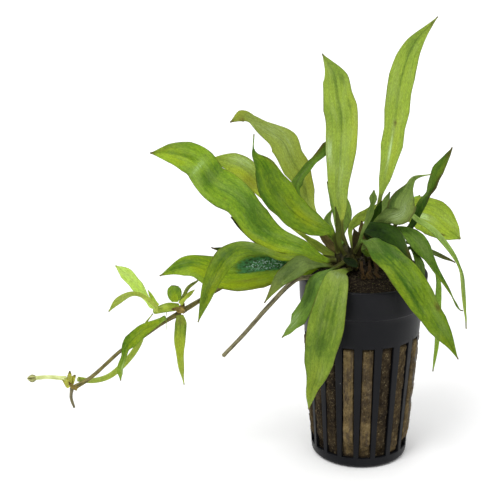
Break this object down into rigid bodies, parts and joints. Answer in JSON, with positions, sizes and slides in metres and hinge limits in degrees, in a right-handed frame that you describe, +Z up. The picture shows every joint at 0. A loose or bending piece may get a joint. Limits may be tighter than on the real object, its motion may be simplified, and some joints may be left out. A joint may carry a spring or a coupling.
{
  "type": "potted echinodorus aquarium plant",
  "caption": "Sword plant for an aquarium in a slotted mesh pot with mineral wool: a rosette of lance-shaped leaves and a runner with young plantlets.",
  "frame": {"origin": "centre of the pot's flat underside", "axes": "+Z up along the pot's axis, -Y towards the viewer of the picture, +X to that viewer's right, so the runner reaches out along -X"},
  "size_m": [0.1769, 0.0612, 0.1782],
  "materials": {
    "pot_plastic": "satin",
    "mineral_wool": "matte",
    "crown": "satin",
    "leaf_bright": "satin",
    "leaf_fresh": "satin",
    "leaf_pale": "satin",
    "leaf_dark": "satin",
    "leaf_dull": "satin",
    "leaf_deep": "satin",
    "sheath": "satin",
    "runner_brown": "satin",
    "stem_green": "satin",
    "root": "satin",
    "stem_pale": "satin"
  },
  "bodies": {
    "root": {"net_pot": "pot_plastic", "rock_wool": "mineral_wool", "crown_left": "crown", "crown_right": "crown", "leaf_tall_right": "leaf_bright", "leaf_tall_centre": "leaf_bright", "leaf_back_left": "leaf_fresh", "leaf_left_upright": "leaf_fresh", "leaf_left_large": "leaf_fresh", "leaf_left_rounded": "leaf_pale", "leaf_narrow_dark": "leaf_dark", "leaf_left_arching": "leaf_fresh", "leaf_left_low": "leaf_fresh", "leaf_under_large": "leaf_dark", "leaf_behind_arching": "leaf_dark", "leaf_front_left_small": "leaf_dull", "leaf_front_left_dark": "leaf_deep", "leaf_front_large": "leaf_bright", "leaf_right_front": "leaf_fresh", "leaf_right_dark": "leaf_dark", "leaf_inner_teal": "leaf_dark", "leaf_right_tailed": "leaf_deep", "leaf_right_long": "leaf_dull", "leaf_right_rounded": "leaf_bright", "leaf_right_twisted": "leaf_deep", "leaf_right_folded": "leaf_dull", "leaf_right_hanging": "leaf_deep", "leaf_right_short": "leaf_dull", "leaf_right_rim": "leaf_deep", "leaf_left_rim": "leaf_dark", "leaf_back_tip": "leaf_dull", "leaf_back_light": "leaf_bright", "leaf_centre_narrow": "leaf_dull", "leaf_centre_dark": "leaf_dark", "leaf_back_small": "leaf_fresh", "leaf_new": "leaf_pale", "leaf_back_grey": "leaf_dull", "leaf_behind_tall": "leaf_dull", "sheath_left": "sheath", "sheath_back": "sheath", "sheath_right": "sheath", "cut_stalk": "runner_brown", "runner_inner": "runner_brown", "runner_outer": "runner_brown", "runner_stub": "runner_brown", "side_shoot": "stem_green", "root_front": "root", "root_middle": "root", "root_side": "root", "plantlet_base": "stem_pale", "plantlet_leaf_round": "leaf_fresh", "plantlet_leaf_short": "leaf_fresh", "plantlet_leaf_bright": "leaf_bright", "plantlet_leaf_arching": "leaf_fresh", "plantlet_spike": "leaf_fresh", "plantlet_leaf_folded": "leaf_fresh", "plantlet_leaf_hanging": "leaf_bright", "plantlet_strap": "leaf_fresh", "outer_bracts": "stem_pale", "outer_stem": "stem_pale"}
  },
  "joints": []
}
